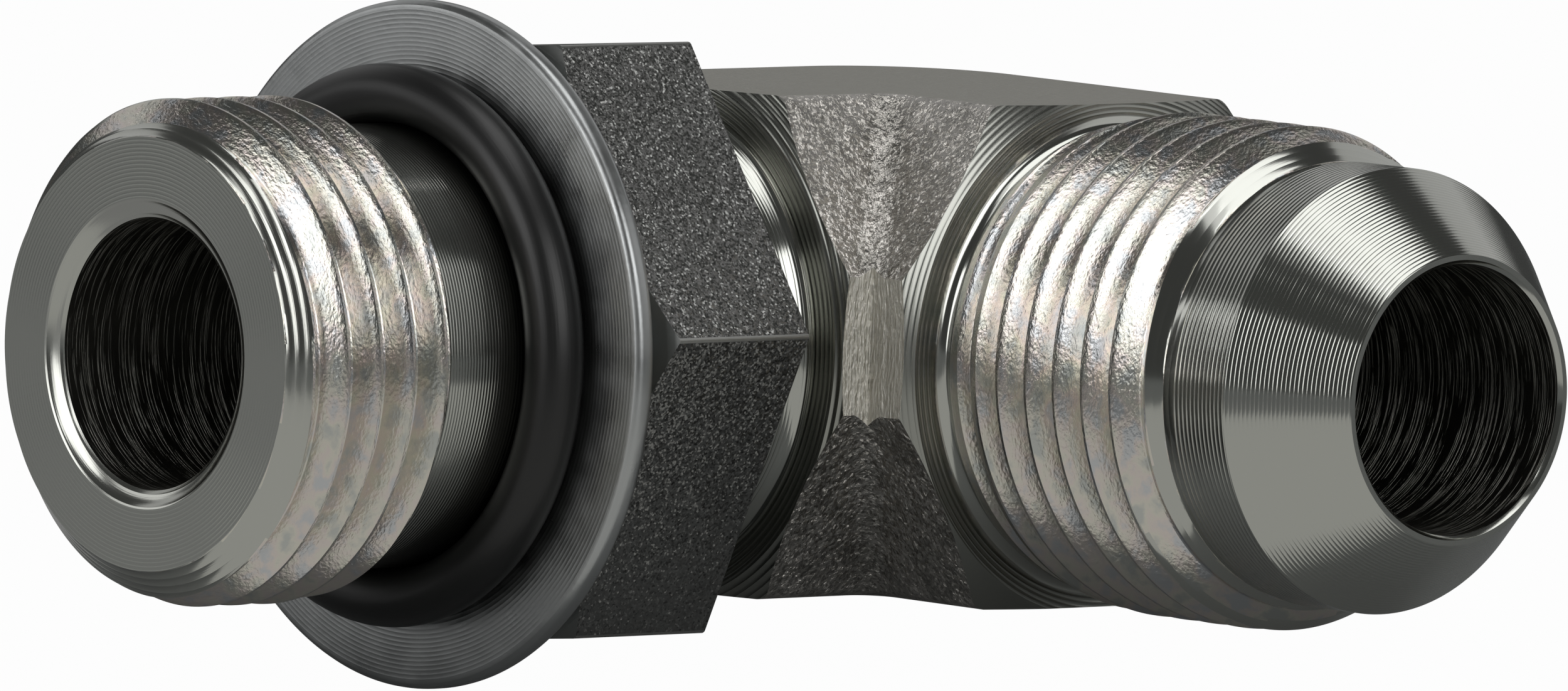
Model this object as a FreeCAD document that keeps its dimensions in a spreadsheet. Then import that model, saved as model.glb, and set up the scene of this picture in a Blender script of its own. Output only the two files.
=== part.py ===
import FreeCAD, Part
import math
import os
import Sketcher

# Hydraulic elbow adapter: a forged steel elbow with a flared tube end along +Y and an
# adjustable boss end along +X, which carries a locknut, a backup washer and an O-ring.
# The origin is the point where the two drilled passages cross, and +Z is up. Millimetres.

doc = FreeCAD.newDocument("elbow_adapter")
sheet = doc.addObject("Spreadsheet::Sheet", "Sizes")

# Driving dimensions. Lengths along an arm are measured from the crossing of the passages.
driving = {
    # the drilled passages and both threads
    "passage_diameter": 10.2,
    "drill_point_angle": 118,
    "drill_overrun": 3.5,
    "thread_diameter": 19.0,
    "flank_half_angle": 30,
    # the forging between the arms
    "forging_height": 19.06,
    "top_flat_width": 11.6,
    "forging_width": 20.6,
    "trim_band_height": 5.1,
    "trim_band_lift": 0.45,
    "crotch_radius": 1.2,
    "forged_edge_radius": 0.7,
    # the turned shoulders that end the forging
    "boss_shoulder": 11.85,
    "flare_shoulder": 12.4,
    "shoulder_face_diameter": 19.8,
    "shoulder_bevel_angle": 30,
    "shoulder_root_radius": 0.5,
    # the boss arm
    "boss_reach": 37.3,
    "boss_nose_diameter": 16.2,
    "mouth_diameter": 11.6,
    "mouth_depth": 0.4,
    "front_thread_back": 30.5,
    "groove_front": 29.4,
    "groove_diameter": 16.7,
    "rear_thread_front": 19.4,
    "rear_relief_end": 13.9,
    "rear_relief_diameter": 16.4,
    # the flare arm
    "flare_reach": 31.9,
    "flare_half_angle": 37,
    "flare_nose_diameter": 10.9,
    "flare_mouth_chamfer": 0.15,
    "pilot_diameter": 16.76,
    "pilot_back": 25.2,
    "pilot_relief_diameter": 16.6,
    "pilot_relief_back": 24.6,
    "flare_thread_front": 23.1,
    "flare_runout_start": 15.9,
    "flare_runout_end": 13.2,
    "flare_runout_diameter": 17.7,
    "flare_relief_diameter": 17.1,
    # the locknut, the backup washer and the O-ring
    "washer_front": 24.16,
    "washer_thickness": 0.9,
    "washer_overhang": 0.12,
    "washer_clearance": 0.2,
    "washer_edge_bevel": 0.15,
    "ring_section": 2.21,
    "ring_clearance": 0.03,
    "locknut_gap": 0.02,
    "locknut_height": 7.7,
    "locknut_wall": 1.56,
    "locknut_chamfer_angle": 30,
    "locknut_face_inset": 0.56,
    "locknut_thread_clearance": 0.05,
    "locknut_mouth_chamfer": 0.5,
    "locknut_turn": 5.2,
}
for row, (alias, value) in enumerate(driving.items(), start=1):
    sheet.set("A%d" % row, alias)
    sheet.set("B%d" % row, str(value))
    sheet.setAlias("B%d" % row, alias)
doc.recompute()


class Size:
    """A length with the sheet formula that gives it, so a drawn point stays bound to the sheet."""

    def __init__(self, value, formula):
        self.value = value
        self.formula = formula

    def __add__(self, other):
        return Size(self.value + other.value, "(%s + %s)" % (self.formula, other.formula))

    def __sub__(self, other):
        return Size(self.value - other.value, "(%s - %s)" % (self.formula, other.formula))

    def __mul__(self, factor):
        return Size(self.value * factor, "(%s * %s)" % (self.formula, factor))

    def __neg__(self):
        return self * -1

    def over_tan(self, angle):
        slope = math.tan(math.radians(angle.value))
        return Size(self.value / slope, "(%s / tan(%s))" % (self.formula, angle.formula))

    def times_tan(self, angle):
        slope = math.tan(math.radians(angle.value))
        return Size(self.value * slope, "(%s * tan(%s))" % (self.formula, angle.formula))

    def times(self, other):
        return Size(self.value * other.value, "(%s * %s)" % (self.formula, other.formula))


def size(alias):
    return Size(driving[alias], "Sizes." + alias)


def radius(alias):
    return size(alias) * 0.5


ZERO = Size(0, "0")
NEAR = 1e-4


def new_body(label):
    body = doc.addObject("PartDesign::Body", label)
    body.Label = label
    return body


def origin_feature(body, role):
    return next(item for item in body.Origin.OriginFeatures if item.Role == role)


def draw(body, name, plane, points):
    """A closed outline on one of the body's origin planes, each corner held by the sheet."""
    sketch = body.newObject("Sketcher::SketchObject", name)
    sketch.AttachmentSupport = [(origin_feature(body, plane), "")]
    sketch.MapMode = "FlatFace"
    corners = [FreeCAD.Vector(across.value, up.value, 0) for across, up in points]
    for index, corner in enumerate(corners):
        following = corners[(index + 1) % len(corners)]
        sketch.addGeometry(Part.LineSegment(corner, following), False)
    for index in range(len(corners)):
        following = (index + 1) % len(corners)
        sketch.addConstraint(Sketcher.Constraint("Coincident", index, 2, following, 1))
    for index, (across, up) in enumerate(points):
        for kind, length in (("DistanceX", across), ("DistanceY", up)):
            held = Sketcher.Constraint(kind, -1, 1, index, 1, length.value)
            number = sketch.addConstraint(held)
            if length is not ZERO:
                sketch.setExpression("Constraints[%d]" % number, length.formula)
    return sketch


def turn(body, name, kind, points, axis):
    """A solid (Revolution) or a cut (Groove) turned about one of the sketch's axes."""
    sketch = draw(body, name + "_outline", "XY_Plane", points)
    feature = body.newObject("PartDesign::" + kind, name)
    feature.Profile = sketch
    feature.ReferenceAxis = (sketch, [axis])
    feature.Angle = 360
    return feature


def extrude(body, name, kind, plane, points, length):
    """A solid (Pad) or a cut (Pocket) pushed straight out of one of the origin planes."""
    feature = body.newObject("PartDesign::" + kind, name)
    feature.Profile = draw(body, name + "_outline", plane, points)
    feature.setExpression("Length", length.formula)
    return feature


def round_edges(body, name, base, chosen, length):
    """Rounds the edges of the base feature that the test picks out."""
    doc.recompute()
    edges = base.Shape.Edges
    names = ["Edge%d" % number for number, edge in enumerate(edges, start=1) if chosen(edge)]
    feature = body.newObject("PartDesign::Fillet", name)
    feature.Base = (base, names)
    feature.setExpression("Radius", length.formula)
    return feature


def swapped(points):
    """The same outline for the flare arm, whose axis is the sketch's vertical one."""
    return [(across, up) for up, across in points]


# The forging: an octagonal section swept round the bend. The two halves of the forging die
# leave a flat top and bottom with slanted sides, and a fillet where the slants meet in the
# crotch. Between them runs the vertical band where the flash was trimmed.
elbow = new_body("elbow_body")
half_height = radius("forging_height")
half_flat = radius("top_flat_width")
half_width = radius("forging_width")
boss_shoulder = size("boss_shoulder")
flare_shoulder = size("flare_shoulder")
band_top = size("trim_band_lift") + radius("trim_band_height")
band_bottom = size("trim_band_lift") - radius("trim_band_height")


def forged_layer(name, near_side):
    """A layer of the section, swept along both arms and round the outside of the bend."""
    far_side = [(-across, up) for across, up in reversed(near_side)]
    section = near_side + far_side
    extrude(elbow, name + "_boss_arm", "Pad", "YZ_Plane", section, boss_shoulder)
    arm = extrude(elbow, name + "_flare_arm", "Pad", "XZ_Plane", section, flare_shoulder)
    arm.Reversed = True
    half_section = [(ZERO, near_side[-1][1])] + far_side + [(ZERO, near_side[0][1])]
    sketch = draw(elbow, name + "_bend_outline", "XZ_Plane", half_section)
    bend = elbow.newObject("PartDesign::Revolution", name + "_bend")
    bend.Profile = sketch
    bend.ReferenceAxis = (sketch, ["V_Axis"])
    bend.Angle = 90
    return bend


def slants_in_the_crotch(edge):
    ends = [vertex.Point for vertex in edge.Vertexes]
    level = all(abs(point.x - point.y) < NEAR for point in ends)
    slanted = len(ends) == 2 and abs(ends[0].x - ends[1].x) > NEAR
    return level and slanted and all(point.x > half_flat.value / 2 for point in ends)


def on_a_flat(edge):
    box = edge.BoundBox
    flat = box.ZLength < NEAR and abs(abs(box.ZMax) - half_height.value) < NEAR
    ends_the_boss_arm = box.XMin > boss_shoulder.value - NEAR
    ends_the_flare_arm = box.YMin > flare_shoulder.value - NEAR
    return flat and not ends_the_boss_arm and not ends_the_flare_arm


crotch_radius = size("crotch_radius")
upper = forged_layer("upper_half", [(half_flat, half_height), (half_width, band_top)])
round_edges(elbow, "upper_crotch", upper, slants_in_the_crotch, crotch_radius)
lower = forged_layer("lower_half", [(half_width, band_bottom), (half_flat, -half_height)])
round_edges(elbow, "lower_crotch", lower, slants_in_the_crotch, crotch_radius)
forged_layer("trim_band", [(half_width, band_top), (half_width, band_bottom)])
corner = [
    (half_width, half_width),
    (boss_shoulder, half_width),
    (boss_shoulder, flare_shoulder),
    (half_width, flare_shoulder),
]
trim = extrude(elbow, "trimmed_corner", "Pocket", "XY_Plane", corner, size("forging_height"))
trim.Midplane = True
round_edges(elbow, "forged_edges", trim, on_a_flat, size("forged_edge_radius"))


def shoulder_bevel(shoulder):
    """The lathe cut that bevels the octagon's corners round a turned shoulder face."""
    inner = radius("shoulder_face_diameter")
    reach = half_height + half_width
    drop = (reach - inner).times_tan(size("shoulder_bevel_angle"))
    return [(shoulder, inner), (shoulder, reach), (shoulder - drop, reach)]


turn(elbow, "boss_bevel", "Groove", shoulder_bevel(boss_shoulder), "H_Axis")
turn(elbow, "flare_bevel", "Groove", swapped(shoulder_bevel(flare_shoulder)), "V_Axis")

# The boss arm: a relief, the rear thread that carries the locknut, the smooth groove for
# the washer and the O-ring, and the front thread that enters the port. Both threads are
# plain here, at the diameter of their crests.
thread_radius = radius("thread_diameter")
flank = size("flank_half_angle")
groove_radius = radius("groove_diameter")
rear_relief = radius("rear_relief_diameter")
boss_nose = radius("boss_nose_diameter")
root_round = size("shoulder_root_radius")
boss_end = size("boss_reach")
boss_profile = [
    (boss_shoulder - root_round, ZERO),
    (boss_shoulder - root_round, rear_relief + root_round),
    (boss_shoulder, rear_relief + root_round),
    (boss_shoulder + root_round, rear_relief),
    (size("rear_relief_end"), rear_relief),
    (size("rear_relief_end") + (thread_radius - rear_relief).times_tan(flank), thread_radius),
    (size("rear_thread_front"), thread_radius),
    (size("rear_thread_front") + (thread_radius - groove_radius).times_tan(flank), groove_radius),
    (size("groove_front"), groove_radius),
    (size("front_thread_back"), thread_radius),
    (boss_end - thread_radius + boss_nose, thread_radius),
    (boss_end, boss_nose),
    (boss_end, ZERO),
]
turn(elbow, "boss_stem", "Revolution", boss_profile, "H_Axis")

# The flare arm: a relief, the thread with its run-out, a plain pilot and the 37 degree cone.
flare_end = size("flare_reach")
flare_nose = radius("flare_nose_diameter")
pilot = radius("pilot_diameter")
pilot_relief = radius("pilot_relief_diameter")
flare_relief = radius("flare_relief_diameter")
flare_profile = [
    (flare_shoulder - root_round, ZERO),
    (flare_shoulder - root_round, flare_relief + root_round),
    (flare_shoulder, flare_relief + root_round),
    (flare_shoulder + root_round, flare_relief),
    (size("flare_runout_end"), radius("flare_runout_diameter")),
    (size("flare_runout_start"), thread_radius),
    (size("flare_thread_front"), thread_radius),
    (size("pilot_relief_back"), pilot_relief),
    (size("pilot_back"), pilot_relief),
    (size("pilot_back"), pilot),
    (flare_end - (pilot - flare_nose).over_tan(size("flare_half_angle")), pilot),
    (flare_end, flare_nose),
    (flare_end, ZERO),
]
turn(elbow, "flare_stem", "Revolution", swapped(flare_profile), "V_Axis")

# The passages: each is drilled from its end to just past the crossing, and leaves the
# point of the drill behind.
def drilled(mouth):
    passage = radius("passage_diameter")
    depth = -size("drill_overrun")
    point = passage.over_tan(size("drill_point_angle") * 0.5)
    return [(depth - point, ZERO), (depth, passage)] + mouth


passage_radius = radius("passage_diameter")
boss_mouth = [
    (boss_end - size("mouth_depth"), passage_radius),
    (boss_end, radius("mouth_diameter")),
    (boss_end, ZERO),
]
turn(elbow, "boss_passage", "Groove", drilled(boss_mouth), "H_Axis")
flare_mouth = [
    (flare_end - size("flare_mouth_chamfer"), passage_radius),
    (flare_end, passage_radius + size("flare_mouth_chamfer")),
    (flare_end, ZERO),
]
turn(elbow, "flare_passage", "Groove", swapped(drilled(flare_mouth)), "V_Axis")

# The locknut: a hexagon, 22.22 mm across its flats, with its front corners bevelled and
# its back face left square. Its tapped bore is plain and just clears the stem's crests.
locknut = new_body("locknut")
nut_height = size("locknut_height")
nut_bore = thread_radius + size("locknut_thread_clearance")
nut_flat = nut_bore + size("locknut_wall")
nut_corner = Size(2 / math.sqrt(3), "2 / sqrt(3)").times(nut_flat)
half_corner = nut_corner * 0.5
hexagon = [
    (nut_corner, ZERO),
    (half_corner, nut_flat),
    (-half_corner, nut_flat),
    (-nut_corner, ZERO),
    (-half_corner, -nut_flat),
    (half_corner, -nut_flat),
]
extrude(locknut, "hexagon", "Pad", "YZ_Plane", hexagon, nut_height)
nut_face = nut_flat - size("locknut_face_inset")
outside = nut_corner + size("locknut_mouth_chamfer")
bevel_drop = (outside - nut_face).times_tan(size("locknut_chamfer_angle"))
corner_bevel = [(nut_height, nut_face), (nut_height, outside), (nut_height - bevel_drop, outside)]
turn(locknut, "corner_bevel", "Groove", corner_bevel, "H_Axis")
mouth = size("locknut_mouth_chamfer")
bore_profile = [
    (ZERO, ZERO),
    (ZERO, nut_bore + mouth),
    (mouth, nut_bore),
    (nut_height - mouth, nut_bore),
    (nut_height, nut_bore + mouth),
    (nut_height, ZERO),
]
turn(locknut, "tapped_bore", "Groove", bore_profile, "H_Axis")

# The backup washer: a flat ring with broken edges that slides along the smooth groove. It
# is as wide as the locknut's corners.
washer = new_body("backup_washer")
washer_outer = nut_corner + size("washer_overhang")
washer_inner = groove_radius + size("washer_clearance")
thickness = size("washer_thickness")
bevel = size("washer_edge_bevel")
ring_section = [
    (ZERO, washer_inner),
    (ZERO, washer_outer - bevel),
    (bevel, washer_outer),
    (thickness - bevel, washer_outer),
    (thickness, washer_outer - bevel),
    (thickness, washer_inner),
]
turn(washer, "washer_ring", "Revolution", ring_section, "H_Axis")

# The O-ring: it sits stretched in the groove, against the washer's front face. Its round
# section is drawn with twelve sides.
ring = new_body("o_ring")
ring_radius = radius("ring_section")
ring_seat = groove_radius + size("ring_clearance") + ring_radius
sides = 12
corner_reach = ring_radius * (1 / math.cos(math.pi / sides))
round_section = []
for corner in range(sides):
    angle = (2 * corner + 1) * math.pi / sides
    height = ring_seat + corner_reach * math.sin(angle)
    round_section.append((corner_reach * math.cos(angle), height))
turn(ring, "ring", "Revolution", round_section, "H_Axis")

# Places along the boss arm.
washer_back = size("washer_front") - thickness
nut_back = washer_back - size("locknut_gap") - nut_height
ring_middle = size("washer_front") + size("ring_clearance") + ring_radius
washer.setExpression("Placement.Base.x", washer_back.formula)
locknut.Placement.Rotation = FreeCAD.Rotation(FreeCAD.Vector(1, 0, 0), driving["locknut_turn"])
locknut.setExpression("Placement.Base.x", nut_back.formula)
locknut.setExpression("Placement.Rotation.Angle", "Sizes.locknut_turn")
ring.setExpression("Placement.Base.x", ring_middle.formula)
doc.recompute()

# Everything is tested before any file is written.
for item in doc.Objects:
    if "Invalid" in item.State or "Error" in item.State:
        raise RuntimeError("%s failed: %s" % (item.Label, item.State))
pieces = (elbow, locknut, washer, ring)
for piece in pieces:
    if piece.Shape.isNull() or not piece.Shape.isValid() or len(piece.Shape.Solids) != 1:
        raise RuntimeError("%s is not one sound solid" % piece.Label)
os.makedirs("parts", exist_ok=True)
for piece in pieces:
    piece.Shape.exportStep("parts/%s.step" % piece.Label)
    print("%s: %.1f cubic mm" % (piece.Label, piece.Shape.Volume))
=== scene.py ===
import math

import bmesh
import bpy
from mathutils import Matrix, Vector


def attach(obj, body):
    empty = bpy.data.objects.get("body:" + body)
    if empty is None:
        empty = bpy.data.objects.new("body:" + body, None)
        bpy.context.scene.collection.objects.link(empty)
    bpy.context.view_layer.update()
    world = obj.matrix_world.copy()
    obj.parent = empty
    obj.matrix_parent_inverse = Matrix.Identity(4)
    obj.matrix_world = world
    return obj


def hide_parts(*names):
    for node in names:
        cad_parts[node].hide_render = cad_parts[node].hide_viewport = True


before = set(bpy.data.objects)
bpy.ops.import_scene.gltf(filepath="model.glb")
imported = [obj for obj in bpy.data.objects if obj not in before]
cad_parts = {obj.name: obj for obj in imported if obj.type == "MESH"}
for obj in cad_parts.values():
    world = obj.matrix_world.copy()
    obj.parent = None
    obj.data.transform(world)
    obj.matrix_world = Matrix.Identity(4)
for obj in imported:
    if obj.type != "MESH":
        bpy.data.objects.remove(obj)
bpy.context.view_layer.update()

# The camera stands at the photo's angle, 1.2 m away with a very long lens, so the two arms
# are seen almost without perspective. The columns are its right, up and backward directions.
CAMERA_RIGHT = (-0.7519, 0.6583, 0.0362)
CAMERA_UP = (-0.0272, -0.0859, 0.9959)
CAMERA_BACK = (0.6588, 0.7478, 0.0824)
CAMERA_PLACE = (0.81096, 0.91428, 0.10030)

lens = bpy.data.cameras.new("photo_camera")
lens.sensor_width = 36
lens.lens = 740
camera = bpy.data.objects.new("photo_camera", lens)
camera.matrix_world = Matrix.Translation(CAMERA_PLACE) @ Matrix(
    (CAMERA_RIGHT, CAMERA_UP, CAMERA_BACK)).transposed().to_4x4()
bpy.context.collection.objects.link(camera)
bpy.context.scene.camera = camera
bpy.context.scene.view_settings.view_transform = "Standard"


# The studio: a pale floor and a white backdrop, with soft boxes over and beside the table.
# The steel is a dark mirror, so black cloth hung all round keeps most of the white out of
# it, and a white card on the table lights it from below. Cloth and card glow with painted
# light, a fixed brightness for the lamps' light on them. The camera sees none of these.
def colour(code):
    """An sRGB hex code as linear red, green, blue and alpha."""
    parts = [int(code[place:place + 2], 16) / 255 for place in (1, 3, 5)]
    return [p / 12.92 if p <= 0.04045 else ((p + 0.055) / 1.055) ** 2.4 for p in parts] + [1]


def node(tree, kind, inputs=(), **settings):
    """Adds a node, sets its settings, and fills its inputs with plain values or links."""
    made = tree.nodes.new(kind)
    for name, value in settings.items():
        setattr(made, name, value)
    for name, value in dict(inputs).items():
        if isinstance(value, bpy.types.NodeSocket):
            tree.links.new(value, made.inputs[name])
        else:
            made.inputs[name].default_value = value
    return made


def from_camera(left, up, back):
    """A place given as metres to the camera's left, up, and back towards it."""
    return Vector(CAMERA_BACK) * back - Vector(CAMERA_RIGHT) * left + Vector(CAMERA_UP) * up


def soft_box(name, place, size, radiance):
    """A flat rectangular lamp that faces the part. A radiance of 1 shows as white."""
    lamp = bpy.data.lights.new(name, "AREA")
    lamp.shape = "RECTANGLE"
    lamp.size, lamp.size_y = size
    lamp.energy = radiance * math.pi * size[0] * size[1]
    stand = bpy.data.objects.new(name, lamp)
    stand.matrix_world = Matrix.Translation(place) @ (
        -place).to_track_quat("-Z", "Y").to_matrix().to_4x4()
    stand.visible_camera = False
    bpy.context.collection.objects.link(stand)


soft_box("left_front_box", from_camera(0.66, 0.25, 0.48), (0.63, 0.54), 2.2)
soft_box("right_front_box", from_camera(-0.45, 0.28, 0.66), (0.60, 0.57), 2.2)
soft_box("left_box", from_camera(0.85, 0.30, -0.13), (0.40, 0.31), 0.95)
soft_box("low_left_box", from_camera(0.88, 0.05, -0.12), (0.40, 0.18), 0.3)
soft_box("right_box", from_camera(-0.86, 0.22, 0.03), (0.36, 0.70), 0.6)
soft_box("top_front_box", from_camera(0.07, 0.9, 0.44), (0.80, 0.18), 1.05)
soft_box("top_box", from_camera(-0.10, 0.9, 0.08), (0.64, 0.53), 1.8)


def looked_at(tree):
    """What kind of ray meets a surface, and whether it comes off metal or through glass."""
    path = node(tree, "ShaderNodeLightPath").outputs
    return path, node(tree, "ShaderNodeMath", {
        0: path["Is Glossy Ray"], 1: path["Is Transmission Ray"]}, operation="MAXIMUM").outputs[0]


def bare_material(name):
    """A material with an empty node tree."""
    material = bpy.data.materials.new(name)
    material.use_nodes = True
    material.node_tree.nodes.clear()
    return material, material.node_tree


world = bpy.data.worlds.new("white_backdrop")
bpy.context.scene.world = world
world.use_nodes = True
tree = world.node_tree
tree.nodes.clear()
path, mirrored = looked_at(tree)
seen = node(tree, "ShaderNodeMath", {
    0: path["Is Camera Ray"], 1: mirrored}, operation="MAXIMUM").outputs[0]
room = node(tree, "ShaderNodeBackground", {"Color": colour("#4a4b4a"), "Strength": 1.0})
backdrop = node(tree, "ShaderNodeBackground", {"Color": colour("#ffffff"), "Strength": 1.0})
shown = node(tree, "ShaderNodeMixShader", {0: seen, 1: room.outputs[0], 2: backdrop.outputs[0]})
node(tree, "ShaderNodeOutputWorld", {"Surface": shown.outputs[0]})


def staged(name, shape, place):
    """Makes a piece of the studio, with an empty material, and gives both back."""
    mesh = bpy.data.meshes.new(name)
    shape.to_mesh(mesh)
    shape.free()
    piece = bpy.data.objects.new(name, mesh)
    piece.matrix_world = place
    bpy.context.collection.objects.link(piece)
    material, tree = bare_material(name)
    mesh.materials.append(material)
    return piece, tree


# The floor is just below the washer, which is the widest piece. The camera sees most of it
# as white, and the rest keeps the part's shadow. The steel mirrors it as the grey it is.
FLOOR = -0.01297
WHITE_SEEN = 0.98
WHITE_MIRRORED = 0.02
sheet = bmesh.new()
bmesh.ops.create_grid(sheet, x_segments=1, y_segments=1, size=1.5)
floor, tree = staged("floor", sheet, Matrix.Translation((0, 0, FLOOR)))
matt = node(tree, "ShaderNodeBsdfDiffuse", {"Color": colour("#868888")})
glow = node(tree, "ShaderNodeEmission", {"Color": colour("#ffffff"), "Strength": 1.0})
path, mirrored = looked_at(tree)
share = node(tree, "ShaderNodeMath", {
    0: path["Is Camera Ray"], 1: WHITE_SEEN}, operation="MULTIPLY").outputs[0]
share = node(tree, "ShaderNodeMath", {
    0: mirrored, 1: WHITE_MIRRORED, 2: share}, operation="MULTIPLY_ADD").outputs[0]
shown = node(tree, "ShaderNodeMixShader", {0: share, 1: matt.outputs[0], 2: glow.outputs[0]})
node(tree, "ShaderNodeOutputMaterial", {"Surface": shown.outputs[0]})

# The black cloth is a dome. Behind the part it has a band of gauze, in degrees above the
# part, which lets through half of the backdrop's white.
# The cloth and gauze glow a fixed dark grey: painted light, in place of the lamps' light falling
# on black cloth.
CLOTH_GLOW = "#444544"
GAUZE_BAND = (22, 46)
tent = bmesh.new()
bmesh.ops.create_uvsphere(tent, u_segments=72, v_segments=60, radius=1.3)
cloth, tree = staged("glowing_black_cloth", tent, Matrix.Identity(4))
glow = node(tree, "ShaderNodeEmission", {"Color": colour(CLOTH_GLOW), "Strength": 1.0})
node(tree, "ShaderNodeOutputMaterial", {"Surface": glow.outputs[0]})
gauze, tree = bare_material("glowing_grey_gauze")
glow = node(tree, "ShaderNodeEmission", {"Color": colour(CLOTH_GLOW), "Strength": 1.0})
holes = node(tree, "ShaderNodeBsdfTransparent")
woven = node(tree, "ShaderNodeMixShader", {0: 0.5, 1: glow.outputs[0], 2: holes.outputs[0]})
node(tree, "ShaderNodeOutputMaterial", {"Surface": woven.outputs[0]})
cloth.data.materials.append(gauze)
for face in cloth.data.polygons:
    middle = face.center.normalized()
    height = math.degrees(math.asin(middle.dot(Vector(CAMERA_UP))))
    if GAUZE_BAND[0] < height < GAUZE_BAND[1] and middle.dot(Vector(CAMERA_BACK)) < -0.35:
        face.material_index = 1

# A white card lies on the table in front of the two open ends, and a grey one to the left.
# Each has a name, its middle to the camera's left and towards it, its height over the floor,
# its half sizes and its colour.
# Each card glows its colour: painted light for a lamp-lit card, which the camera doesn't see.
level = Vector((CAMERA_BACK[0], CAMERA_BACK[1], 0)).normalized()
aside = Vector((-CAMERA_RIGHT[0], -CAMERA_RIGHT[1], 0)).normalized()
cards = []
for name, left, back, height, half_size, code in (
        ("glowing_white_card", 0.022, 0.054, 0.0002, (0.062, 0.028), "#b6b6b3"),
        ("glowing_grey_card", 0.155, 0.005, 0.0001, (0.120, 0.110), "#909090")):
    sheet = bmesh.new()
    bmesh.ops.create_grid(sheet, x_segments=1, y_segments=1, size=1)
    bmesh.ops.scale(sheet, verts=sheet.verts, vec=(half_size[0], half_size[1], 1))
    place = level * back + aside * left + Vector((0, 0, FLOOR + height))
    card, tree = staged(name, sheet, Matrix.Translation(place) @ Matrix.Rotation(
        math.atan2(aside.y, aside.x), 4, "Z"))
    glow = node(tree, "ShaderNodeEmission", {"Color": colour(code), "Strength": 1.0})
    node(tree, "ShaderNodeOutputMaterial", {"Surface": glow.outputs[0]})
    cards.append(card)
for piece in [cloth] + cards:
    piece.visible_camera = False
    piece.visible_shadow = False


# The forging between the arms: steel pressed between two die halves, so that its section
# is an octagon, with a band at mid height where the flash was sheared off. The lathe then
# faces and bevels both its ends, and the two passages are drilled until they cross.
MM = 0.001
HALF_HEIGHT = 9.53 * MM
HALF_FLAT = 5.8 * MM
HALF_WIDTH = 10.3 * MM
BAND_TOP = 3.0 * MM
BAND_BOTTOM = -2.1 * MM
BOSS_SHOULDER = 11.85 * MM
FLARE_SHOULDER = 12.4 * MM
FACE_RADIUS = 9.9 * MM
BEVEL_SLOPE = math.tan(math.radians(30))
PASSAGE = 5.1 * MM
OVERRUN = 3.5 * MM
SPARE = 1.0 * MM
CROTCH_BEVEL = 0.86 * MM
FLAT_BEVEL = 0.36 * MM
TOOL_REACH = 16 * MM
DRILL_SLOPE = math.tan(math.radians(59))
NEAR = 1e-6
BEND_STEPS = 32

# Each arm has its own direction, and the one from which turning about it is counted.
BOSS = (Vector((1, 0, 0)), Vector((0, 1, 0)))
FLARE = (Vector((0, 1, 0)), Vector((1, 0, 0)))


def plated(name, code, roughness):
    """A plated metal with no marks on it yet: the material, its node tree and its shader."""
    material, tree = bare_material(name)
    shader = node(tree, "ShaderNodeBsdfPrincipled", {
        "Base Color": colour(code), "Metallic": 1.0, "Roughness": roughness})
    node(tree, "ShaderNodeOutputMaterial", {"Surface": shader.outputs[0]})
    return material, tree, shader


def marks(tree, size, detail=2.0):
    """Noise of grains of a size along X, Y and Z, which are streaks where one is longer."""
    place = node(tree, "ShaderNodeTexCoord").outputs["Object"]
    scaled = node(tree, "ShaderNodeMapping", {
        "Vector": place, "Scale": [1 / length for length in size]})
    return node(tree, "ShaderNodeTexNoise", {
        "Vector": scaled.outputs[0], "Scale": 1.0, "Detail": detail}).outputs[0]


def round_the_arm(arm, fine, long):
    """The size of streaks that run round an arm."""
    return [fine if part else long for part in arm[0]]


def facets(tree, size, lean, base=None):
    """Grains of one size, each with its own lean, so that some of them catch a lamp."""
    place = node(tree, "ShaderNodeTexCoord").outputs["Object"]
    own = node(tree, "ShaderNodeTexVoronoi", {"Vector": place, "Scale": 1 / size}).outputs["Color"]
    leans = node(tree, "ShaderNodeVectorMath", {
        0: own, 1: [2 * lean] * 3, 2: [-lean] * 3}, operation="MULTIPLY_ADD").outputs[0]
    if base is None:
        base = node(tree, "ShaderNodeNewGeometry").outputs["Normal"]
    leant = node(tree, "ShaderNodeVectorMath", {0: base, 1: leans}, operation="ADD").outputs[0]
    return node(tree, "ShaderNodeVectorMath", {0: leant}, operation="NORMALIZE").outputs[0]


def tool_rings(tree, arm, feed, on_a_face=False):
    """The scallop of a round-nosed tool at each turn: 0 in its middle, 0.25 at its ridges."""
    place = node(tree, "ShaderNodeTexCoord").outputs["Object"]
    if on_a_face:
        flat = node(tree, "ShaderNodeVectorMath", {
            0: place, 1: Vector((1, 1, 1)) - arm[0]}, operation="MULTIPLY").outputs[0]
        across = node(tree, "ShaderNodeVectorMath", {0: flat}, operation="LENGTH")
    else:
        across = node(tree, "ShaderNodeVectorMath", {0: place, 1: arm[0]},
                      operation="DOT_PRODUCT")
    turns = node(tree, "ShaderNodeMath", {0: across.outputs["Value"], 1: 1 / feed},
                 operation="MULTIPLY").outputs[0]
    part = node(tree, "ShaderNodeMath", {0: turns}, operation="FRACT").outputs[0]
    middle = node(tree, "ShaderNodeMath", {0: part, 1: 0.5}, operation="SUBTRACT").outputs[0]
    return node(tree, "ShaderNodeMath", {0: middle, 1: middle}, operation="MULTIPLY").outputs[0]


def turned_steel(name, arm, feed, depth, on_a_face=False, code="#bcbdb7", roughness=0.13):
    """Zinc plate over a lathe-turned surface: a sharp mirror with rings one feed apart."""
    material, tree, shader = plated(name, code, roughness)
    rings = tool_rings(tree, arm, feed, on_a_face)
    scratches = marks(tree, round_the_arm(arm, 0.03 * MM, 4 * MM))
    height = node(tree, "ShaderNodeMath", {0: scratches, 1: 0.04, 2: rings},
                  operation="MULTIPLY_ADD").outputs[0]
    bump = node(tree, "ShaderNodeBump", {"Height": height, "Distance": 4 * depth})
    tree.links.new(bump.outputs[0], shader.inputs["Normal"])
    return material


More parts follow.
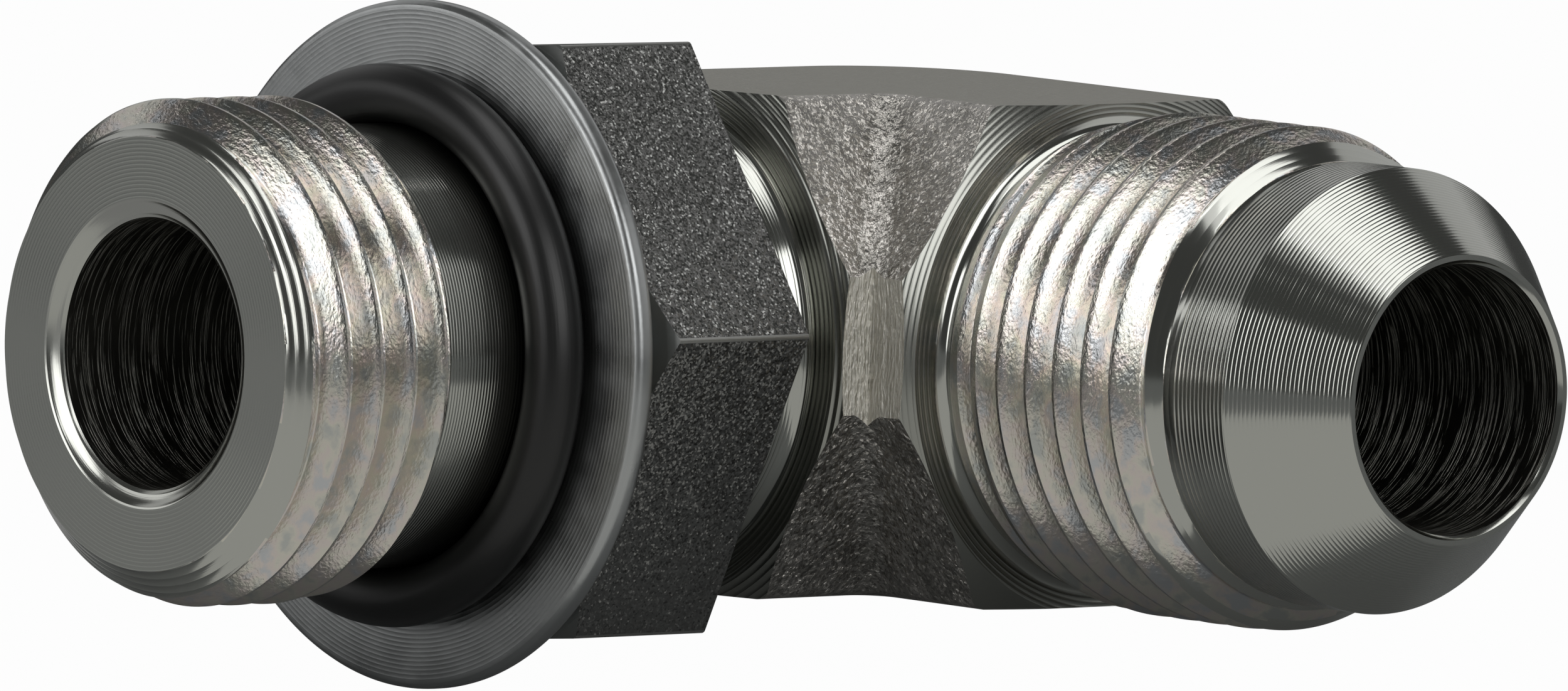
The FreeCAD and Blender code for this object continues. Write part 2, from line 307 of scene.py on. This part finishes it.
def drilled_steel(name, arm):
    """Zinc plate in a drilled hole, with torn streaks that glint round the wall. Its darker base
    colour is painted shade inside the passage.
    """
    material, tree, shader = plated(name, "#7f7e78", 0.32)
    tears = marks(tree, round_the_arm(arm, 0.06 * MM, 3.0 * MM), 4.0)
    sparse = node(tree, "ShaderNodeMapRange", {
        0: tears, 1: 0.56, 2: 0.7, 3: 0.0, 4: 1.0}).outputs[0]
    bump = node(tree, "ShaderNodeBump", {"Height": sparse, "Distance": 0.03 * MM})
    tree.links.new(bump.outputs[0], shader.inputs["Normal"])
    return material


# The forging's skin was blasted clean of scale before it was plated: coarse bright grain.
blasted, tree, shader = plated("shot_blasted_zinc_plated_forging", "#aeaca7", 0.27)
grain = marks(tree, (0.17 * MM, 0.17 * MM, 0.17 * MM), 3.0)
dents = node(tree, "ShaderNodeTexVoronoi", {
    "Vector": node(tree, "ShaderNodeTexCoord").outputs["Object"], "Scale": 1 / (0.38 * MM)},
    feature="SMOOTH_F1").outputs["Distance"]
height = node(tree, "ShaderNodeMath", {0: dents, 1: 0.8, 2: grain},
              operation="MULTIPLY_ADD").outputs[0]
bump = node(tree, "ShaderNodeBump", {"Height": height, "Distance": 0.11 * MM})
tree.links.new(facets(tree, 0.13 * MM, 0.3, bump.outputs[0]), shader.inputs["Normal"])
patches = marks(tree, (1.2 * MM, 1.2 * MM, 1.2 * MM), 4.0)
tint = node(tree, "ShaderNodeValToRGB", {0: patches})
tint.color_ramp.elements[0].position = 0.35
tint.color_ramp.elements[0].color = colour("#b4b1ab")
tint.color_ramp.elements[1].position = 0.65
tint.color_ramp.elements[1].color = colour("#d6d2cc")
tree.links.new(tint.outputs[0], shader.inputs["Base Color"])

# The flats were pressed by the smooth parts of the dies, so their grain is much finer.
pressed, tree, shader = plated("die_pressed_zinc_plated_flat", "#b3b1a9", 0.42)
grain = marks(tree, (0.12 * MM, 0.12 * MM, 0.12 * MM), 3.0)
bump = node(tree, "ShaderNodeBump", {"Height": grain, "Distance": 0.03 * MM})
tree.links.new(facets(tree, 0.13 * MM, 0.1, bump.outputs[0]), shader.inputs["Normal"])

# The trim band was torn by the trimming die, which leaves bright upright streaks.
sheared, tree, shader = plated("sheared_zinc_plated_steel", "#e2dfd6", 0.3)
tears = marks(tree, (0.12 * MM, 0.12 * MM, 0.5 * MM), 5.0)
bump = node(tree, "ShaderNodeBump", {"Height": tears, "Distance": 0.22 * MM})
tree.links.new(bump.outputs[0], shader.inputs["Normal"])

boss_shoulder_steel = turned_steel("turned_zinc_plated_boss_shoulder", BOSS, 0.25 * MM, 0.03 * MM,
                                   on_a_face=True, code="#9fa09a", roughness=0.22)
flare_shoulder_steel = turned_steel("turned_zinc_plated_flare_shoulder", FLARE, 0.2 * MM,
                                    0.013 * MM, on_a_face=True, code="#9fa09a", roughness=0.22)
boss_bore_steel = drilled_steel("drilled_zinc_plated_boss_passage", BOSS)
flare_bore_steel = drilled_steel("drilled_zinc_plated_flare_passage", FLARE)


def smoothed(piece, weighted=False):
    """Shades a piece smooth but for its real edges. Weighted keeps big flat faces flat."""
    piece.data.shade_smooth()
    piece.data.set_sharp_from_angle(angle=math.radians(26))
    if weighted:
        change = piece.modifiers.new("flat_faces_stay_flat", "WEIGHTED_NORMAL")
        change.keep_sharp = True


def finished(name, shape, *materials):
    """Makes an object of the bmesh, with its normals outward, shaded smooth."""
    bmesh.ops.remove_doubles(shape, verts=shape.verts, dist=1e-7)
    bmesh.ops.recalc_face_normals(shape, faces=shape.faces)
    mesh = bpy.data.meshes.new(name)
    shape.to_mesh(mesh)
    shape.free()
    for material in materials:
        mesh.materials.append(material)
    piece = bpy.data.objects.new(name, mesh)
    bpy.context.collection.objects.link(piece)
    smoothed(piece)
    return piece


def turned(outline, arm, steps=256):
    """A lathe-turned solid: a closed outline of (along the arm, out from it), spun once."""
    along, out = arm
    shape = bmesh.new()
    ring = [shape.verts.new(along * place + out * radius) for place, radius in outline]
    for start, end in zip(ring, ring[1:] + ring[:1]):
        shape.edges.new((start, end))
    bmesh.ops.spin(shape, geom=shape.verts[:] + shape.edges[:], cent=(0, 0, 0), axis=along,
                   angle=math.tau, steps=steps, use_merge=True)
    bmesh.ops.remove_doubles(shape, verts=shape.verts, dist=1e-7)
    bmesh.ops.recalc_face_normals(shape, faces=shape.faces)
    return shape


def cut_away(piece, shape):
    """Cuts the bmesh out of a finished piece."""
    cutter = finished("cutter", shape)
    change = piece.modifiers.new("cut", "BOOLEAN")
    change.object = cutter
    change.operation = "DIFFERENCE"
    change.solver = "EXACT"
    bpy.context.view_layer.update()
    result = bpy.data.meshes.new_from_object(piece.evaluated_get(
        bpy.context.evaluated_depsgraph_get()))
    piece.modifiers.clear()
    old = piece.data
    piece.data = result
    result.name = piece.name
    bpy.data.meshes.remove(old)
    bpy.data.objects.remove(cutter)


def dressed(piece, number, chosen):
    """Gives another of its materials to the faces that the test picks by middle and normal."""
    for face in piece.data.polygons:
        if chosen(face.center, face.normal):
            face.material_index = number


def from_axis(place, arm):
    """How far a place is from an arm's middle line."""
    return (place - arm[0] * place.dot(arm[0])).length


def in_the_passage(arm):
    """A test for the faces of an arm's drilled passage."""
    return lambda middle, normal: (middle.dot(arm[0]) > -7 * MM
                                   and from_axis(middle, arm) < PASSAGE + 1e-5)


near_side = [(HALF_FLAT, HALF_HEIGHT), (HALF_WIDTH, BAND_TOP),
             (HALF_WIDTH, BAND_BOTTOM), (HALF_FLAT, -HALF_HEIGHT)]
far_side = [(-across, up) for across, up in reversed(near_side)]
section = near_side + far_side


def station(turn):
    """The section's corners part of the way round the bend: the near side stays in the crotch."""
    places = []
    for across, up in section:
        if across > 0:
            places.append(Vector((across, across, up)))
        else:
            places.append(Vector((across * math.sin(turn), across * math.cos(turn), up)))
    return places


stations = [[Vector((BOSS_SHOULDER + SPARE, across, up)) for across, up in section]]
stations += [station(step / BEND_STEPS * math.pi / 2) for step in range(BEND_STEPS + 1)]
stations += [[Vector((across, FLARE_SHOULDER + SPARE, up)) for across, up in section]]
forging = bmesh.new()
ring = [forging.verts.new(place) for place in stations[0]]
edges = [forging.edges.new((ring[k - 1], ring[k])) for k in range(len(ring))]
first_end = edges
for before, after in zip(stations, stations[1:]):
    made = bmesh.ops.extrude_edge_only(forging, edges=edges)["geom"]
    edges = [item for item in made if isinstance(item, bmesh.types.BMEdge)]
    for corner in [item for item in made if isinstance(item, bmesh.types.BMVert)]:
        nearest = min(range(len(before)), key=lambda k: (before[k] - corner.co).length)
        corner.co = after[nearest]
bmesh.ops.edgeloop_fill(forging, edges=first_end)
bmesh.ops.edgeloop_fill(forging, edges=edges)
bmesh.ops.remove_doubles(forging, verts=forging.verts, dist=1e-7)
bmesh.ops.dissolve_degenerate(forging, edges=forging.edges, dist=1e-7)
bmesh.ops.recalc_face_normals(forging, faces=forging.faces)

crotch = [edge for edge in forging.edges
          if all(abs(end.co.x - end.co.y) < NEAR and end.co.x > 0 for end in edge.verts)
          and abs(edge.verts[0].co.z - edge.verts[1].co.z) > NEAR]
bmesh.ops.bevel(forging, geom=crotch, affect="EDGES", offset=CROTCH_BEVEL, segments=8,
                profile=0.5, material=-1)
flats = [edge for edge in forging.edges
         if all(abs(abs(end.co.z) - HALF_HEIGHT) < NEAR for end in edge.verts)
         and edge.calc_face_angle(0) > math.radians(20)
         and not any(abs(face.normal.x) > 0.999 or abs(face.normal.y) > 0.999
                     for face in edge.link_faces)]
bmesh.ops.bevel(forging, geom=flats, affect="EDGES", offset=FLAT_BEVEL, segments=4,
                profile=0.5, material=-1)
elbow_forging = finished("elbow_forging", forging, blasted, pressed, sheared,
                         boss_shoulder_steel, flare_shoulder_steel, boss_bore_steel,
                         flare_bore_steel)

corner_block = bmesh.new()
bmesh.ops.create_cube(corner_block, size=8 * MM)
bmesh.ops.translate(corner_block, verts=corner_block.verts,
                    vec=(HALF_WIDTH + 4 * MM, HALF_WIDTH + 4 * MM, 0))
bmesh.ops.scale(corner_block, verts=corner_block.verts, vec=(1, 1, 4))
cut_away(elbow_forging, corner_block)
for shoulder, arm in ((BOSS_SHOULDER, BOSS), (FLARE_SHOULDER, FLARE)):
    tool = [(shoulder, 0), (shoulder, FACE_RADIUS),
            (shoulder - (TOOL_REACH - FACE_RADIUS) * BEVEL_SLOPE, TOOL_REACH),
            (shoulder + 3 * MM, TOOL_REACH), (shoulder + 3 * MM, 0)]
    cut_away(elbow_forging, turned(tool, arm))
for arm in (BOSS, FLARE):
    point = PASSAGE / DRILL_SLOPE
    drill = [(-OVERRUN - point, 0), (-OVERRUN, PASSAGE), (20 * MM, PASSAGE), (20 * MM, 0)]
    cut_away(elbow_forging, turned(drill, arm))
dressed(elbow_forging, 1, lambda middle, normal: abs(normal.z) > 0.98)
dressed(elbow_forging, 2, lambda middle, normal: (
    abs(normal.z) < 0.02 and BAND_BOTTOM < middle.z < BAND_TOP))
for number, arm, shoulder in ((3, BOSS, BOSS_SHOULDER), (4, FLARE, FLARE_SHOULDER)):
    dressed(elbow_forging, number, lambda middle, normal: (
        normal.dot(arm[0]) > 0.99 and middle.dot(arm[0]) > 11 * MM
        or abs(normal.dot(arm[0]) - 0.866) < 0.02 and abs(
            shoulder - (from_axis(middle, arm) - FACE_RADIUS) * BEVEL_SLOPE
            - middle.dot(arm[0])) < 0.03 * MM))
    dressed(elbow_forging, number + 2, in_the_passage(arm))
smoothed(elbow_forging, weighted=True)
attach(elbow_forging, "elbow")

# The threads: 3/4-16 UNF, cut by one tool at 1.5875 mm a turn. They start on the end's
# bevel and fade out in the relief, so the form is trimmed there to the turned blank. The
# form's corners are (along, out), from the rear edge of one crest to that of the next.
PITCH = 1.5875 * MM
CREST_RADIUS = 9.5 * MM
THREAD_FORM = [(0, 9.46 * MM), (0.04 * MM, CREST_RADIUS), (0.16 * MM, CREST_RADIUS),
               (0.2 * MM, 9.46 * MM), (0.735 * MM, 8.58 * MM), (0.79 * MM, 8.55 * MM),
               (1.0 * MM, 8.55 * MM), (1.055 * MM, 8.58 * MM), (PITCH, 9.46 * MM)]
THREAD_STEPS = 240

# The zinc was passivated after plating, which tints the rougher thread flanks faintly
# yellow, pink and blue in patches. The cut flanks have torn streaks along the thread.
TINTS = ((0.34, "#bfc1bd"), (0.45, "#d6d3c8"), (0.54, "#d8cfc9"), (0.64, "#c6c8ca"))


def threaded_steel(name, arm):
    """Zinc plate over a cut thread: patches of tint, and fine tears."""
    material, tree, shader = plated(name, "#ccc8bb", 0.17)
    patches = marks(tree, round_the_arm(arm, 0.5 * MM, 1.2 * MM), 6.0)
    tint = node(tree, "ShaderNodeValToRGB", {0: patches})
    ramp = tint.color_ramp
    ramp.elements[0].position, ramp.elements[0].color = TINTS[0][0], colour(TINTS[0][1])
    ramp.elements[1].position, ramp.elements[1].color = TINTS[-1][0], colour(TINTS[-1][1])
    for place, code in TINTS[1:-1]:
        ramp.elements.new(place).color = colour(code)
    tree.links.new(tint.outputs[0], shader.inputs["Base Color"])
    torn = marks(tree, round_the_arm(arm, 0.07 * MM, 0.2 * MM), 5.0)
    bump = node(tree, "ShaderNodeBump", {"Height": torn, "Distance": 0.02 * MM})
    tree.links.new(bump.outputs[0], shader.inputs["Normal"])
    return material


boss_thread_steel = threaded_steel("thread_cut_zinc_plated_boss", BOSS)
flare_thread_steel = threaded_steel("thread_cut_zinc_plated_flare", FLARE)


def radius_at(place, corners):
    """The radius at a place along an outline of corners (place, radius)."""
    for (start, low), (end, high) in zip(corners, corners[1:]):
        if place <= end:
            share = max(place - start, 0) / (end - start)
            return low + (high - low) * share
    return corners[-1][1]


def threaded(arm, blank, crest, inner):
    """A threaded tube: the form is spun along the screw, trimmed to the blank, and cut square.

    Crest is the place of one crest's rear edge where the turning starts. Inner has, for each
    end, the rings that lead into the passage, as (radius, shift along the arm)."""
    along, out = arm
    start, end = blank[0][0], blank[-1][0]
    stops = []
    for (before, low), (after, high) in zip(THREAD_FORM, THREAD_FORM[1:]):
        parts = math.ceil((after - before) / (0.1 * MM))
        stops += [before + (after - before) * k / parts for k in range(parts)]
    first = math.floor((start - PITCH - crest) / PITCH)
    turns = math.ceil((end - start) / PITCH) + 3
    places = [crest + (first + turn) * PITCH + stop for turn in range(turns) for stop in stops]
    shape = bmesh.new()
    line = [shape.verts.new(along * place + out * CREST_RADIUS) for place in places]
    for one, two in zip(line, line[1:]):
        shape.edges.new((one, two))
    bmesh.ops.spin(shape, geom=shape.verts[:] + shape.edges[:], cent=(0, 0, 0), axis=along,
                   dvec=along * (PITCH / THREAD_STEPS), angle=math.tau, steps=THREAD_STEPS)
    bmesh.ops.remove_doubles(shape, verts=shape.verts, dist=1e-6)
    side = along.cross(out)
    for corner in shape.verts:
        place = corner.co.dot(along)
        outward = corner.co - along * place
        turn = math.atan2(outward.dot(side), outward.dot(out))
        into_form = (place - crest - PITCH * turn / math.tau) % PITCH
        radius = min(radius_at(into_form, THREAD_FORM), radius_at(place, blank))
        corner.co = along * place + outward.normalized() * radius
    for place, direction in ((start, -1), (end, 1)):
        bmesh.ops.bisect_plane(shape, geom=shape.verts[:] + shape.edges[:] + shape.faces[:],
                               dist=1e-8, plane_co=along * place, plane_no=along * direction,
                               clear_outer=True)
    ends = []
    for place in (start, end):
        edges = [edge for edge in shape.edges if edge.is_boundary
                 and all(abs(corner.co.dot(along) - place) < NEAR for corner in edge.verts)]
        for radius, shift in inner[place]:
            made = bmesh.ops.extrude_edge_only(shape, edges=edges)["geom"]
            edges = [item for item in made if isinstance(item, bmesh.types.BMEdge)]
            for corner in [item for item in made if isinstance(item, bmesh.types.BMVert)]:
                depth = corner.co.dot(along)
                outward = corner.co - along * depth
                corner.co = along * (depth + shift) + outward.normalized() * radius
        ends.append(edges)
    bmesh.ops.bridge_loops(shape, edges=ends[0] + ends[1])
    return shape


# The boss arm goes into the port. From the shoulder out it has a relief, the locknut's
# thread, a smooth groove for the washer and the O-ring, and the thread that the port grips.
# Each length of it is turned from the forging, and its thread is then cut.
REAR_START = 13.9 * MM
GROOVE_START = 20.06 * MM
GROOVE_END = 29.4 * MM
BOSS_END = 37.3 * MM
RELIEF_RADIUS = 8.2 * MM
GROOVE_RADIUS = 8.35 * MM
NOSE_RADIUS = 8.1 * MM
MOUTH_RADIUS = 5.8 * MM
MOUTH_DEPTH = 0.4 * MM
BOSS_CREST = 30.472 * MM
boss_turned_steel = turned_steel("turned_zinc_plated_boss", BOSS, 0.14 * MM, 0.006 * MM)
boss_faced_steel = turned_steel("faced_zinc_plated_boss_end", BOSS, 0.15 * MM, 0.0045 * MM,
                                on_a_face=True, code="#b2b4ae", roughness=0.16)
boss_bevel_steel = turned_steel("rough_turned_zinc_plated_boss_bevel", BOSS, 0.27 * MM,
                                0.030 * MM, roughness=0.18)


def root_outline(shoulder, top, bottom, length, steps, end, end_radius):
    """The outline of an arm's root: sunk in the shoulder, with a quarter round up to it."""
    sunk = shoulder - 0.3 * MM
    outline = [(shoulder, PASSAGE), (sunk, 7 * MM), (sunk, top)]
    for k in range(steps + 1):
        turn = math.pi / 2 * k / steps
        outline.append((shoulder + length * (1 - math.cos(turn)),
                        top - (top - bottom) * math.sin(turn)))
    return outline + [(end, end_radius), (end, PASSAGE)]


boss_root = finished("boss_root", turned(root_outline(
    BOSS_SHOULDER, 8.9 * MM, RELIEF_RADIUS, 1.6 * MM, 16, REAR_START, RELIEF_RADIUS), BOSS),
    boss_turned_steel, boss_bore_steel)
rear_blank = [(REAR_START, RELIEF_RADIUS), (14.65 * MM, CREST_RADIUS), (19.4 * MM, CREST_RADIUS),
              (GROOVE_START, GROOVE_RADIUS)]
rear_inner = {REAR_START: [(PASSAGE, 0)], GROOVE_START: [(PASSAGE, 0)]}
rear_thread = finished("rear_thread", threaded(BOSS, rear_blank, BOSS_CREST, rear_inner),
                       boss_thread_steel, boss_bore_steel, boss_turned_steel)
groove = [(GROOVE_START, PASSAGE), (GROOVE_START, GROOVE_RADIUS), (GROOVE_END, GROOVE_RADIUS),
          (GROOVE_END, PASSAGE)]
seal_groove = finished("seal_groove", turned(groove, BOSS), boss_turned_steel, boss_bore_steel)
front_blank = [(GROOVE_END, GROOVE_RADIUS), (30.5 * MM, CREST_RADIUS), (35.9 * MM, CREST_RADIUS),
               (BOSS_END, NOSE_RADIUS)]
front_inner = {GROOVE_END: [(PASSAGE, 0)],
               BOSS_END: [(MOUTH_RADIUS, 0), (PASSAGE, -MOUTH_DEPTH)]}
front_thread = finished("front_thread", threaded(BOSS, front_blank, BOSS_CREST, front_inner),
                        boss_thread_steel, boss_bore_steel, boss_faced_steel, boss_bevel_steel)
dressed(front_thread, 2, lambda middle, normal: (
    normal.x > 0.9 and middle.x > BOSS_END - 0.5 * MM))
dressed(front_thread, 3, lambda middle, normal: (
    0.6 < normal.x < 0.9 and middle.x > 35.8 * MM and (
        abs(from_axis(middle, BOSS) - radius_at(middle.x, front_blank)) < 0.03 * MM
        or from_axis(middle, BOSS) < MOUTH_RADIUS + 0.1 * MM)))
dressed(rear_thread, 2, lambda middle, normal: middle.x < 14.7 * MM)

# The flare arm takes a tube nut. Its cone of 37 degrees seals against the flared tube, and
# behind the cone a plain pilot leads to the thread, which runs out before the shoulder.
FLARE_START = 12.95 * MM
PILOT_START = 24.6 * MM
PILOT_END = 28.02 * MM
FLARE_END = 31.9 * MM
PILOT_RADIUS = 8.38 * MM
FLARE_CREST = 22.811 * MM
flare_turned_steel = turned_steel("turned_zinc_plated_pilot", FLARE, 0.22 * MM, 0.011 * MM)
cone_steel = turned_steel("turned_zinc_plated_cone", FLARE, 0.13 * MM, 0.0075 * MM)
flare_smooth_steel = turned_steel("fine_turned_zinc_plated_relief", FLARE, 0.3 * MM, 0.004 * MM)
flare_root = finished("flare_root", turned(root_outline(
    FLARE_SHOULDER, 9.05 * MM, 8.55 * MM, 0.5 * MM, 8, FLARE_START, 8.55 * MM), FLARE),
    flare_smooth_steel, flare_bore_steel)
flare_blank = [(FLARE_START, 8.5 * MM), (13.2 * MM, 8.85 * MM), (15.9 * MM, CREST_RADIUS),
               (23.1 * MM, CREST_RADIUS), (PILOT_START, 8.3 * MM)]
flare_inner = {FLARE_START: [(PASSAGE, 0)], PILOT_START: [(PASSAGE, 0)]}
flare_thread = finished("flare_thread", threaded(FLARE, flare_blank, FLARE_CREST, flare_inner),
                        flare_thread_steel, flare_bore_steel, flare_smooth_steel)
dressed(flare_thread, 2, lambda middle, normal: middle.y > 23.1 * MM and normal.y > 0.5 and (
    abs(from_axis(middle, FLARE) - radius_at(middle.y, flare_blank)) < 0.03 * MM))
nose = [(PILOT_START, PASSAGE), (PILOT_START, 8.3 * MM), (25.14 * MM, 8.3 * MM),
        (25.2 * MM, PILOT_RADIUS), (PILOT_END, PILOT_RADIUS), (FLARE_END, 5.45 * MM),
        (FLARE_END, 5.25 * MM), (31.75 * MM, PASSAGE)]
flare_nose = finished("flare_nose", turned(nose, FLARE), flare_turned_steel, flare_bore_steel,
                      cone_steel, flare_smooth_steel)
dressed(flare_nose, 2, lambda middle, normal: 0.5 < normal.y < 0.7)
dressed(flare_nose, 3, lambda middle, normal: middle.y < 25.2 * MM or normal.y > 0.9)

boss_pieces = (boss_root, rear_thread, seal_groove, front_thread)
flare_pieces = (flare_root, flare_thread, flare_nose)
for arm, pieces in ((BOSS, boss_pieces), (FLARE, flare_pieces)):
    for piece in pieces:
        dressed(piece, 1, in_the_passage(arm))
        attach(piece, "elbow")
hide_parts("elbow_body")

# The locknut: sawn from hexagonal bar, bored and tapped, bevelled on its front corners and
# then blasted, so it is darker and finer grained than the forging. It is turned by hand
# until the elbow points the right way.
NUT_BACK = 15.54 * MM
NUT_FRONT = 23.24 * MM
ACROSS_FLATS = 22.22 * MM
NUT_FACE = 10.55 * MM
NUT_BORE = 9.55 * MM
NUT_TURN = math.radians(5.2)
INSIDE_THE_FLATS = 10.5 * MM
blasted_bar, tree, shader = plated("blasted_zinc_plated_nut", "#828280", 0.26)
grain = marks(tree, (0.3 * MM, 0.3 * MM, 0.3 * MM), 2.0)
bump = node(tree, "ShaderNodeBump", {"Height": grain, "Distance": 0.04 * MM})
tree.links.new(facets(tree, 0.08 * MM, 0.32, bump.outputs[0]), shader.inputs["Normal"])
nut_turned_steel = turned_steel("turned_zinc_plated_nut_bevel", BOSS, 0.2 * MM, 0.002 * MM,
                                code="#8b8d8b", roughness=0.25)
worn_edge, tree, shader = plated("worn_zinc_plated_nut_corner", "#a9a9a6", 0.3)
bar = bmesh.new()
bmesh.ops.create_circle(bar, cap_ends=True, segments=6, radius=ACROSS_FLATS / math.sqrt(3))
bmesh.ops.rotate(bar, verts=bar.verts, cent=(0, 0, 0),
                 matrix=Matrix.Rotation(math.pi / 2, 3, "Y"))
first = max(bar.verts, key=lambda corner: corner.co.y)
lean = math.atan2(first.co.z, first.co.y)
bmesh.ops.rotate(bar, verts=bar.verts, cent=(0, 0, 0),
                 matrix=Matrix.Rotation(NUT_TURN - lean, 3, "X"))
bmesh.ops.translate(bar, verts=bar.verts, vec=(NUT_BACK, 0, 0))
made = bmesh.ops.extrude_face_region(bar, geom=bar.faces[:])["geom"]
bmesh.ops.translate(bar, verts=[item for item in made if isinstance(item, bmesh.types.BMVert)],
                    vec=(NUT_FRONT - NUT_BACK, 0, 0))
bmesh.ops.recalc_face_normals(bar, faces=bar.faces)
corners = [edge for edge in bar.edges
           if abs(edge.verts[0].co.x - edge.verts[1].co.x) > NEAR]
bmesh.ops.bevel(bar, geom=corners, affect="EDGES", offset=0.12 * MM, segments=3, profile=0.5,
                material=-1)
locknut = finished("locknut_hexagon", bar, blasted_bar, nut_turned_steel, worn_edge)
tool = [(NUT_FRONT, NUT_FACE), (NUT_FRONT - 4 * MM * BEVEL_SLOPE, NUT_FACE + 4 * MM),
        (NUT_FRONT + MM, NUT_FACE + 4 * MM), (NUT_FRONT + MM, NUT_FACE)]
cut_away(locknut, turned(tool, BOSS))
tap = [(NUT_BACK - MM, 0), (NUT_BACK - MM, NUT_BORE + 1.5 * MM),
       (NUT_BACK + 0.5 * MM, NUT_BORE), (NUT_FRONT - 0.5 * MM, NUT_BORE),
       (NUT_FRONT + MM, NUT_BORE + 1.5 * MM), (NUT_FRONT + MM, 0)]
cut_away(locknut, turned(tap, BOSS))
dressed(locknut, 1, lambda middle, normal: (
    abs(normal.x) > 0.3 or from_axis(middle, BOSS) < INSIDE_THE_FLATS))


def off_a_corner(normal):
    """How far a normal points from the nearest of the nut's six corners, in radians."""
    step = math.pi / 3
    return abs((math.atan2(normal.z, normal.y) - NUT_TURN + step / 2) % step - step / 2)


dressed(locknut, 2, lambda middle, normal: (
    abs(normal.x) < 0.1 and from_axis(middle, BOSS) > INSIDE_THE_FLATS
    and off_a_corner(normal) < 0.45))
smoothed(locknut, weighted=True)
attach(locknut, "nut")
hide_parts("locknut")

# The backup washer: a stamped and tumbled steel ring, so its rims are rounded and its faces
# are satin, with the bluish cast of the passivated zinc. It keeps the O-ring from being
# squeezed out backwards.
WASHER_BACK = 23.26 * MM
WASHER_FRONT = 24.16 * MM
WASHER_RADIUS = 12.95 * MM
WASHER_BORE = 8.55 * MM
RIM = 0.32 * MM
RIM_STEPS = 5
tumbled, tree, shader = plated("tumbled_zinc_plated_washer", "#afb1b1", 0.4)
clouds = marks(tree, (1.5 * MM, 1.5 * MM, 1.5 * MM), 5.0)
rough = node(tree, "ShaderNodeMapRange", {0: clouds, 1: 0.3, 2: 0.7, 3: 0.26, 4: 0.4})
tree.links.new(rough.outputs[0], shader.inputs["Roughness"])
fine = marks(tree, (0.25 * MM, 0.25 * MM, 0.25 * MM), 4.0)
rings = tool_rings(tree, BOSS, 0.17 * MM, on_a_face=True)
height = node(tree, "ShaderNodeMath", {0: rings, 1: 3.0, 2: fine},
              operation="MULTIPLY_ADD").outputs[0]
bump = node(tree, "ShaderNodeBump", {"Height": height, "Distance": 0.006 * MM})
tree.links.new(bump.outputs[0], shader.inputs["Normal"])
outline = [(WASHER_BACK, WASHER_BORE)]
for middle, start in ((WASHER_BACK + RIM, math.pi), (WASHER_FRONT - RIM, math.pi / 2)):
    for k in range(RIM_STEPS + 1):
        turn = start - k / RIM_STEPS * math.pi / 2
        outline.append((middle + RIM * math.cos(turn),
                        WASHER_RADIUS - RIM + RIM * math.sin(turn)))
outline.append((WASHER_FRONT, WASHER_BORE))
washer = finished("washer_ring", turned(outline, BOSS), tumbled)
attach(washer, "washer")
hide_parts("backup_washer")

# The O-ring: moulded nitrile rubber of 2.21 mm section, stretched into the groove. It seals
# against the port's tapered seat when the locknut is tightened.
RING_SECTION = 1.105 * MM
RING_PLACE = (25.295 * MM, 9.485 * MM)
RING_STEPS = 40
rubber, tree = bare_material("moulded_nitrile_rubber")
shader = node(tree, "ShaderNodeBsdfPrincipled", {
    "Base Color": colour("#0c0c0c"), "Roughness": 0.38, "IOR": 1.52})
fine = marks(tree, round_the_arm(BOSS, 0.12 * MM, 2.5 * MM), 3.0)
bump = node(tree, "ShaderNodeBump", {"Height": fine, "Distance": 0.008 * MM})
tree.links.new(bump.outputs[0], shader.inputs["Normal"])
node(tree, "ShaderNodeOutputMaterial", {"Surface": shader.outputs[0]})
outline = [(RING_PLACE[0] + RING_SECTION * math.cos(math.tau * k / RING_STEPS),
            RING_PLACE[1] + RING_SECTION * math.sin(math.tau * k / RING_STEPS))
           for k in range(RING_STEPS)]
rubber_ring = finished("rubber_ring", turned(outline, BOSS), rubber)
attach(rubber_ring, "elbow")
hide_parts("o_ring")
